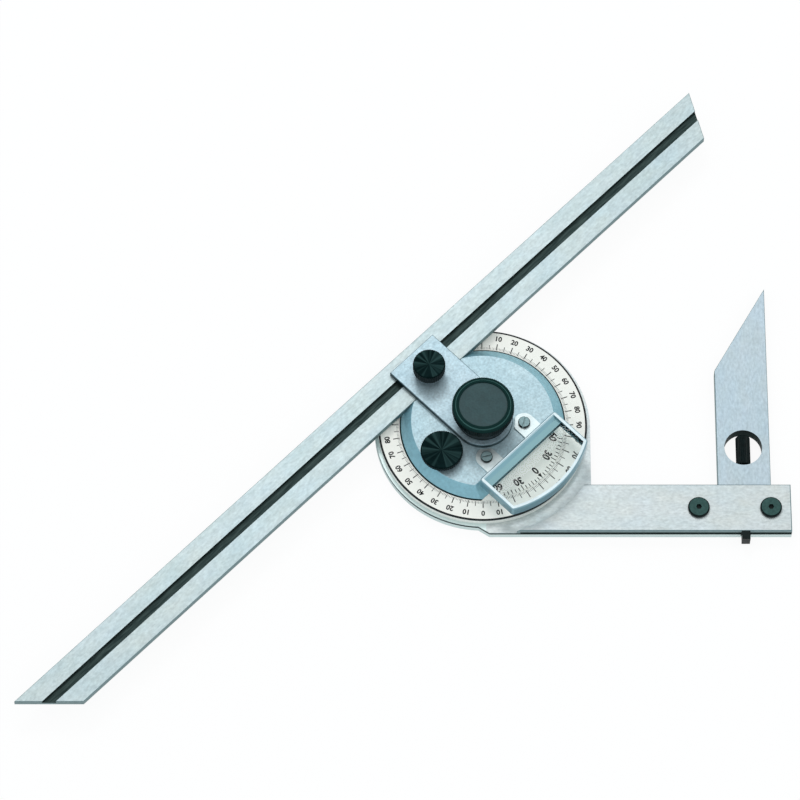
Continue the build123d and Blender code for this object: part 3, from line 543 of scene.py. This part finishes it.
def cream_enamel(name, base, coat, gloss):
    """The dial's cream coat, slightly uneven, with painted shade as a black line on its chamfers.
    """
    surface = Surface(name, base, metallic=0.0, roughness=0.42)
    surface.tint(12, depth=0.05)
    surface.tint(0.7, depth=0.04)
    # Painted shade: a black line on the chamfers
    surface.paint(surface.between(surface.lean(), *CHAMFER_LEAN), CHAMFER_SHADE)
    surface.sheen_spread(3, low=0.36, high=0.5)
    surface.bump(0.3, depth=0.005, strength=0.2)
    surface.shader.inputs["Coat Weight"].default_value = coat
    surface.shader.inputs["Specular IOR Level"].default_value = gloss
    return surface.finish()


def black_finish(name, gloss=0.14, glance=(1.0, 1.0, 1.0, 1.0)):
    """Black finish with fine wear, its reflections weak and of one colour."""
    surface = Surface(name, BLACK, metallic=0.0, roughness=0.4)
    surface.tint(1.5, depth=0.6)
    surface.sheen_spread(1.0, low=0.32, high=0.46)
    surface.soft_edges(radius=0.1)
    surface.bump(0.15, depth=0.006, strength=0.2)
    surface.shader.inputs["Specular IOR Level"].default_value = gloss
    surface.shader.inputs["Specular Tint"].default_value = glance
    return surface


def turned_black(node):
    """Black finish with painted highlights: a facing cut's streaks fanning from the piece's
    middle.
    """
    surface = black_finish(node + "_black", gloss=0.05, glance=TURNED_GLANCE)
    low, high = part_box(node)
    middle = ((low.x + high.x) / 2, (low.y + high.y) / 2, high.z)
    from_middle = surface.vector_math("SUBTRACT", surface.place, middle)
    in_plan = surface.vector_math("MULTIPLY", from_middle, (1, 1, 0))
    outward = surface.vector_math("NORMALIZE", in_plan)
    streaks = surface.noise_at(outward, STREAK_SCALE, STREAK_DETAIL, STREAK_ROUGHNESS)
    fan = surface.ramp(streaks, HIGHLIGHT_STREAKS)
    # Painted highlight: the streaks on the level top
    surface.paint(surface.both(fan, surface.turned_up(LEVEL)), STREAK_HIGHLIGHT)
    return surface.finish()


def lock_knob_black():
    """Black finish with a top painted paler as if lit, and a painted highlight on the lock knob's
    step.
    """
    surface = black_finish("lock_knob_black", gloss=0.05, glance=LOCK_KNOB_GLANCE)
    upward = surface.turned_up(UPWARD)
    # Painted light: the upward faces are paler
    surface.paint(upward, LOCK_KNOB_LIT_TOP)
    step = surface.between(surface.reach(0.0, 0.0), *HIGHLIGHT_RING_RADII)
    # Painted highlight: a bright line on the step's edge
    surface.paint(surface.both(upward, step), LOCK_KNOB_RING_HIGHLIGHT)
    return surface.finish()


def turret_steel():
    """The turret's satin steel, with a painted shade line round its rim."""
    surface = satin_steel("satin_steel", BLADE_ANGLE, TURRET_STEEL, TURRET_SLOPE_SHADE)
    rim = surface.math("GREATER_THAN", surface.reach(0.0, 0.0), TURRET_SHADE_RADIUS)
    # Painted shade: a dark line round the rim
    surface.paint(rim, TURRET_RIM_SHADE)
    return surface.finish()


def screw_black():
    """Black screw heads whose level faces near the top are grey-green."""
    surface = black_finish("screw_black")
    grey_green_top = surface.ramp(surface.noise(0.9), SCREW_TOP_GREENS)
    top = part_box("guide_screws")[1].z - SCREW_TOP_DEPTH
    outer = surface.math("GREATER_THAN", surface.axes(surface.place)["Z"], top)
    surface.paint(surface.both(surface.turned_up(LEVEL), outer), grey_green_top)
    return surface.finish()


def attachment_steel():
    """Ground steel of the acute blade, whose round window's wall is painted black as shade."""
    surface = ground_steel("attachment_ground_steel", 90.0, ATTACHMENT_STEEL)
    wall = surface.math("LESS_THAN", surface.lean(), WALL)
    near = surface.math("LESS_THAN", surface.reach(*WINDOW_MIDDLE), WINDOW_RADIUS + WINDOW_MARGIN)
    # Painted shade: the window's wall is black
    surface.paint(surface.both(wall, near), WINDOW_SHADE)
    return surface.finish()


def knob_face_finish():
    """The bare grey-green disc let into the lock knob."""
    surface = Surface("knob_face_finish", KNOB_FACE_GREY, metallic=0.0, roughness=0.42)
    surface.tint(4, depth=0.2)
    surface.tint(0.6, depth=0.25)
    surface.sheen_spread(1.5, low=0.36, high=0.5)
    surface.bump(0.2, depth=0.006, strength=0.3)
    surface.shader.inputs["Specular IOR Level"].default_value = 0.3
    return surface.finish()


def magnifier_finish():
    """The magnifier frame's pale blue-grey satin coat, with painted shade on its sides and inner
    slopes.
    """
    surface = Surface("magnifier_finish", FRAME_COAT, metallic=0.6, roughness=0.3)
    surface.tint(6, depth=0.1)
    surface.tint(0.8, depth=0.1)
    # Painted shade on the sides and, lower down, on the sunk slopes
    surface.shade_sides(FRAME_SIDE_SHADE, upright=0.6)
    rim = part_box("magnifier_frame")[1].z - FRAME_RIM_DEPTH
    sunk = surface.math("LESS_THAN", surface.axes(surface.place)["Z"], rim)
    shaded = surface.ramp(surface.facing("Z"), FRAME_SHADES)
    surface.paint(surface.both(sunk, surface.turned_up(GENTLE)), shaded)
    surface.sheen_spread(5, low=0.28, high=0.34, detail=0.0)
    surface.bump(0.5, depth=0.006, strength=0.1, detail=2.0)
    return surface.finish()


def lens_glass():
    """Clear coated glass, weak in reflections, that lets the lamps through to the vernier."""
    surface = Surface("lens_glass", GLASS, metallic=0.0, roughness=0.0)
    surface.tint(5, depth=0.01)
    surface.shader.inputs["Transmission Weight"].default_value = 1.0
    surface.shader.inputs["IOR"].default_value = GLASS_INDEX
    material = surface.finish()
    bend = surface.nodes.new("ShaderNodeBsdfRefraction")
    bend.inputs["Color"].default_value = (*GLASS, 1)
    bend.inputs["Roughness"].default_value = 0.0
    bend.inputs["IOR"].default_value = GLASS_INDEX
    clear = surface.nodes.new("ShaderNodeBsdfTransparent")
    clear.inputs["Color"].default_value = (*CLEAR, 1)
    path = surface.nodes.new("ShaderNodeLightPath")
    lamps = surface.either(path.outputs["Is Shadow Ray"], path.outputs["Is Diffuse Ray"])
    coated = mix_shaders(surface.tree, BEND_SHARE, surface.shader.outputs["BSDF"],
                         bend.outputs["BSDF"])
    whole = mix_shaders(surface.tree, lamps, coated, clear.outputs["BSDF"])
    surface.links.new(whole, surface.nodes["Material Output"].inputs["Surface"])
    return material


def plain_metal(name, colour, roughness):
    """Turned or plated metal for screws, washers and hidden pieces."""
    surface = Surface(name, colour, metallic=0.95, roughness=roughness)
    surface.tint(2, depth=0.16)
    surface.sheen_spread(1.2, low=roughness * 0.8, high=roughness * 1.25)
    surface.bump((0.4, 0.1, 0.1), depth=0.008, strength=0.25)
    return surface.finish()


def ink():
    """The black of the graduations and numbers."""
    surface = Surface("scale_ink", SCALE_INK, metallic=0.0, roughness=0.5)
    surface.tint(0.8, depth=0.5)
    surface.sheen_spread(0.5, low=0.5, high=0.7)
    surface.shader.inputs["Specular IOR Level"].default_value = 0.15
    return surface.finish()


def dress_nodes():
    """Give every CAD node its material, by the record's slot or by a material of its own."""
    # The vernier's cream is painted lighter than the dial's, against the shade under the frame and
    # lens
    vernier_lit_cream = cream_enamel("vernier_lit_cream", VERNIER_LIT_CREAM, coat=0.0, gloss=0.15)
    by_slot = {
        "ground_steel": stock_steel(),
        "satin_steel": turret_steel(),
        "scale_cream": cream_enamel("scale_cream", DIAL_CREAM, coat=0.15, gloss=0.5),
        "black_finish": black_finish("black_finish").finish(),
        "knob_face": knob_face_finish(),
        "magnifier_finish": magnifier_finish(),
        "lens_glass": lens_glass(),
        "bright_steel": plain_metal("bright_steel", BRIGHT_STEEL, roughness=0.34),
        "plain_steel": plain_metal("plain_steel", PLAIN_STEEL, roughness=0.3),
        "bearing_brass": plain_metal("bearing_brass", BRASS, roughness=0.28),
    }
    arm_steel = satin_steel("arm_satin_steel", BLADE_ANGLE, ARM_STEEL, ARM_SIDE_SHADE, upright=0.5)
    by_node = {
        "blade": blade_steel(),
        "acute_blade": attachment_steel(),
        "guide_screws": screw_black(),
        "lock_knob": lock_knob_black(),
        "clamp_arm": arm_steel.finish(),
        "bracket_screws": satin_steel("screw_steel", 0.0, SCREW_STEEL, SCREW_SIDE_SHADE).finish(),
        "blade_clamp_knob": turned_black("blade_clamp_knob"),
        "fine_knob": turned_black("fine_knob"),
        "clamp_bush": plain_metal("dark_steel", DARK_STEEL, roughness=0.35),
        "vernier_plate": vernier_lit_cream,
        "vernier_screws": vernier_lit_cream,
    }
    for entry in frame["record"]["subparts"]:
        name = entry["node"]
        chosen = by_node.get(name) or by_slot[entry["material_slot"]]
        for material_slot in nodes[name].material_slots:
            material_slot.material = chosen


# Graduations

def polar(radius, angle):
    """A point at a radius and an angle about the pivot."""
    return Vector((radius * cos(radians(angle)), radius * sin(radians(angle)), 0))


def add_prism(mesh, outline):
    """A thin closed prism of ink over a flat outline that runs anticlockwise."""
    bottom = [mesh.verts.new((point.x, point.y, INK_BOTTOM)) for point in outline]
    top = [mesh.verts.new((point.x, point.y, INK_TOP)) for point in outline]
    mesh.faces.new(reversed(bottom))
    mesh.faces.new(top)
    count = len(outline)
    for index in range(count):
        after = (index + 1) % count
        mesh.faces.new((bottom[index], bottom[after], top[after], top[index]))


def add_tick(mesh, angle, inner, outer, width):
    """A graduation line that points away from the pivot."""
    side = polar(width / 2, angle + 90)
    near, far = polar(inner, angle), polar(outer, angle)
    add_prism(mesh, [near - side, far - side, far + side, near + side])


def add_band(mesh, inner, outer, steps):
    """A thin closed ring of ink about the pivot."""
    rings = []
    for radius, height in ((inner, INK_BOTTOM), (outer, INK_BOTTOM),
                           (outer, INK_TOP), (inner, INK_TOP)):
        ring = []
        for step in range(steps):
            point = polar(radius, 360 * step / steps)
            ring.append(mesh.verts.new((point.x, point.y, height)))
        rings.append(ring)
    for index, this in enumerate(rings):
        following = rings[(index + 1) % len(rings)]
        for step in range(steps):
            after = (step + 1) % steps
            mesh.faces.new((this[step], this[after], following[after], following[step]))


def add_number(mesh, text, radius, angle, size):
    """A number whose top points away from the pivot."""
    curve = bpy.data.curves.new("number", "FONT")
    curve.body = text
    curve.size = size
    curve.align_x = "CENTER"
    curve.align_y = "CENTER"
    curve.extrude = (INK_HEIGHT + INK_DEPTH) / 2
    curve.offset = size * NUMBER_WEIGHT
    curve.resolution_u = NUMBER_CURVE_STEPS
    carrier = bpy.data.objects.new("number", curve)
    bpy.context.scene.collection.objects.link(carrier)
    bpy.context.view_layer.update()
    solid = bpy.data.meshes.new_from_object(carrier.evaluated_get(
        bpy.context.evaluated_depsgraph_get()))
    place = polar(radius, angle)
    place.z = DIAL_FACE + (INK_HEIGHT - INK_DEPTH) / 2
    turn = Euler((0, 0, radians(angle - 90))).to_matrix().to_4x4()
    solid.transform(Matrix.Translation(place) @ turn)
    mesh.from_mesh(solid)
    bpy.data.objects.remove(carrier)
    bpy.data.curves.remove(curve)
    bpy.data.meshes.remove(solid)


def new_piece(name, mesh, material, body):
    """Turn a finished bmesh into an object that rides on a body."""
    bmesh.ops.recalc_face_normals(mesh, faces=mesh.faces)
    data = bpy.data.meshes.new(name)
    mesh.to_mesh(data)
    mesh.free()
    data.materials.append(material)
    piece = bpy.data.objects.new(name, data)
    bpy.context.scene.collection.objects.link(piece)
    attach(piece, body)
    return piece


def pick_by_step(count, values):
    """The value of the largest step that a count falls on."""
    for step, value in values.items():
        if count % step == 0:
            return value


def dial_marks(material):
    """The main scale: four quarters of 0 to 90, ticks inside, numbers outside, and a rim line."""
    mesh = bmesh.new()
    inner = RING_BORE + TICK_INSET
    for degree in range(360):
        outer = inner + pick_by_step(degree, TICK_LENGTHS)
        add_tick(mesh, degree, inner, outer, pick_by_step(degree, TICK_WIDTHS))
    for angle in range(0, 360, NUMBER_STEP):
        from_zero = (angle + 90) % 180
        value = min(from_zero, 180 - from_zero)
        add_number(mesh, str(value), NUMBER_RADIUS, angle, NUMBER_SIZE)
    rim = RING_RADIUS - RIM_LINE_INSET
    add_band(mesh, rim - RIM_LINE_WIDTH, rim, RIM_LINE_STEPS)
    new_piece("dial_graduations", mesh, material, "stock_base")


def vernier_marks(material):
    """The vernier: 60 to 0 to 60 minutes, with an arrow at zero."""
    mesh = bmesh.new()
    middle = BLADE_ANGLE - 90
    for count in range(-VERNIER_DIVISIONS, VERNIER_DIVISIONS + 1):
        angle = middle + count * VERNIER_SPAN / VERNIER_DIVISIONS
        inner = VERNIER_RADIUS - pick_by_step(count, VERNIER_TICK_LENGTHS)
        add_tick(mesh, angle, inner, VERNIER_RADIUS, VERNIER_TICK_WIDTH)
    for count in range(-VERNIER_DIVISIONS, VERNIER_DIVISIONS + 1, VERNIER_NUMBER_STEP):
        angle = middle + count * VERNIER_SPAN / VERNIER_DIVISIONS
        minutes = str(abs(count) * VERNIER_MINUTES // VERNIER_DIVISIONS)
        add_number(mesh, minutes, VERNIER_NUMBER_RADIUS, angle, VERNIER_NUMBER_SIZE)
    side = polar(ARROW_WIDTH / 2, middle + 90)
    foot = polar(ARROW_TIP_RADIUS - ARROW_LENGTH, middle)
    add_prism(mesh, [foot - side, polar(ARROW_TIP_RADIUS, middle), foot + side])
    new_piece("vernier_graduations", mesh, material, "turret")


# Lens

def close_grids(mesh, crown, base, columns, rows):
    """Faces over two grids of points, listed column by column, and round their borders."""
    pitch = rows + 1
    for column in range(columns):
        for row in range(rows):
            here = column * pitch + row
            corners = (here, here + 1, here + pitch + 1, here + pitch)
            mesh.faces.new([crown[corner] for corner in corners]).smooth = True
            mesh.faces.new([base[corner] for corner in corners])
    last = columns * pitch
    border = [(row, row + 1) for row in range(rows)]
    border += [(last + row, last + row + 1) for row in range(rows)]
    for column in range(columns):
        here = column * pitch
        border += [(here, here + pitch), (here + rows, here + rows + pitch)]
    for first, second in border:
        mesh.faces.new([crown[first], crown[second], base[second], base[first]])


def crowned_lens():
    """The magnifier's lens with a truly round crown, on the outline and height of its solid."""
    solid = nodes["magnifier_lens"]
    turn = Matrix.Rotation(radians(BLADE_ANGLE), 3, "Z")
    points = [turn.inverted() @ vertex.co for vertex in solid.data.vertices]
    half_width = max(point.x for point in points)
    inner = min(-point.y for point in points)
    outer = max(hypot(point.x, point.y) for point in points)
    bottom = min(point.z for point in points)
    top = max(point.z for point in points)
    edge = max(point.z for point in points if -point.y < inner + LENS_EDGE_REACH)
    half_depth = (outer - inner) / 2
    crown_radius = (half_depth ** 2 + (top - edge) ** 2) / (2 * (top - edge))
    mesh = bmesh.new()
    crown, base = [], []
    for column in range(LENS_COLUMNS + 1):
        x = half_width * (2 * column / LENS_COLUMNS - 1)
        depth = sqrt(outer ** 2 - x ** 2) - inner
        for row in range(LENS_ROWS + 1):
            y = depth * row / LENS_ROWS
            height = top - crown_radius + sqrt(crown_radius ** 2 - (y - half_depth) ** 2)
            crown.append(mesh.verts.new(turn @ Vector((x, -inner - y, height))))
            base.append(mesh.verts.new(turn @ Vector((x, -inner - y, bottom))))
    close_grids(mesh, crown, base, LENS_COLUMNS, LENS_ROWS)
    lens = new_piece("crowned_lens", mesh, solid.material_slots[0].material, "turret")
    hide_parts("magnifier_lens")


# Stage, light and camera

def seen_or_mirrored(tree):
    """1 for rays from the camera, from a mirror surface or through glass, else 0."""
    path = tree.nodes.new("ShaderNodeLightPath")
    total = path.outputs["Is Camera Ray"]
    for name in ("Is Glossy Ray", "Is Transmission Ray"):
        larger = tree.nodes.new("ShaderNodeMath")
        larger.operation = "MAXIMUM"
        tree.links.new(total, larger.inputs[0])
        tree.links.new(path.outputs[name], larger.inputs[1])
        total = larger.outputs[0]
    return total


def stage_material():
    """White floor that keeps a soft shadow and is white where it is seen or mirrored."""
    material = bpy.data.materials.new("stage_white")
    material.use_nodes = True
    tree = material.node_tree
    tree.nodes.remove(tree.nodes["Principled BSDF"])
    paint = tree.nodes.new("ShaderNodeBsdfDiffuse")
    paint.inputs["Color"].default_value = (1, 1, 1, 1)
    glow = tree.nodes.new("ShaderNodeEmission")
    glow.inputs["Color"].default_value = (1, 1, 1, 1)
    glow.inputs["Strength"].default_value = 1.0
    share = tree.nodes.new("ShaderNodeMath")
    share.operation = "MULTIPLY"
    share.inputs[1].default_value = FLOOR_GLOW
    tree.links.new(seen_or_mirrored(tree), share.inputs[0])
    whole = mix_shaders(tree, share.outputs[0], paint.outputs["BSDF"], glow.outputs["Emission"])
    tree.links.new(whole, tree.nodes["Material Output"].inputs["Surface"])
    return material


def stage():
    """A large plain floor just under the object."""
    mesh = bmesh.new()
    corners = [(-FLOOR_HALF, -FLOOR_HALF), (FLOOR_HALF, -FLOOR_HALF),
               (FLOOR_HALF, FLOOR_HALF), (-FLOOR_HALF, FLOOR_HALF)]
    mesh.faces.new([mesh.verts.new((x, y, -FLOOR_DROP)) for x, y in corners])
    data = bpy.data.meshes.new("stage_floor")
    mesh.to_mesh(data)
    mesh.free()
    data.materials.append(stage_material())
    floor = bpy.data.objects.new("stage_floor", data)
    bpy.context.scene.collection.objects.link(floor)


def studio_world():
    """A plain studio sky, bright overhead and darker below, that the camera sees as white."""
    world = bpy.data.worlds.new("studio")
    bpy.context.scene.world = world
    world.use_nodes = True
    tree = world.node_tree
    sky = tree.nodes["Background"]
    coordinates = tree.nodes.new("ShaderNodeTexCoord")
    split = tree.nodes.new("ShaderNodeSeparateXYZ")
    ramp = tree.nodes.new("ShaderNodeValToRGB")
    fill_ramp(ramp, SKY)
    tree.links.new(coordinates.outputs["Generated"], split.inputs["Vector"])
    tree.links.new(split.outputs["Z"], ramp.inputs["Fac"])
    tree.links.new(ramp.outputs["Color"], sky.inputs["Color"])
    sky.inputs["Strength"].default_value = 1.0
    white = tree.nodes.new("ShaderNodeBackground")
    white.inputs["Color"].default_value = (1, 1, 1, 1)
    path = tree.nodes.new("ShaderNodeLightPath")
    whole = mix_shaders(tree, path.outputs["Is Camera Ray"], sky.outputs["Background"],
                        white.outputs["Background"])
    tree.links.new(whole, tree.nodes["World Output"].inputs["Surface"])


def area_light(name, place, size, power):
    """A square soft light that looks at the dial."""
    data = bpy.data.lights.new(name, "AREA")
    data.shape = "SQUARE"
    data.size = size
    data.energy = power
    light = bpy.data.objects.new(name, data)
    light.location = place
    light.rotation_euler = Vector(place).to_track_quat("Z", "Y").to_euler()
    light.visible_transmission = False
    bpy.context.scene.collection.objects.link(light)


def camera():
    """The camera at the photograph's viewing angle."""
    data = bpy.data.cameras.new("camera")
    data.sensor_width = SENSOR_WIDTH
    data.lens = SENSOR_WIDTH * VIEW_DISTANCE / VIEW_WIDTH
    data.clip_start = NEAR_CLIP
    data.clip_end = FAR_CLIP
    back = Vector((0, -cos(radians(VIEW_ELEVATION)), sin(radians(VIEW_ELEVATION))))
    eye = bpy.data.objects.new("camera", data)
    eye.location = VIEW_CENTRE + back * VIEW_DISTANCE
    eye.rotation_mode = "QUATERNION"
    eye.rotation_quaternion = (-back).to_track_quat("-Z", "Y")
    bpy.context.scene.collection.objects.link(eye)
    bpy.context.scene.camera = eye


bpy.context.scene.view_settings.view_transform = "Standard"
camera()
stage()
studio_world()
for lamp_name, (lamp_place, lamp_size, lamp_power) in LAMPS.items():
    area_light(lamp_name, lamp_place, lamp_size, lamp_power)

dress_nodes()
ink_material = ink()
dial_marks(ink_material)
vernier_marks(ink_material)
crowned_lens()
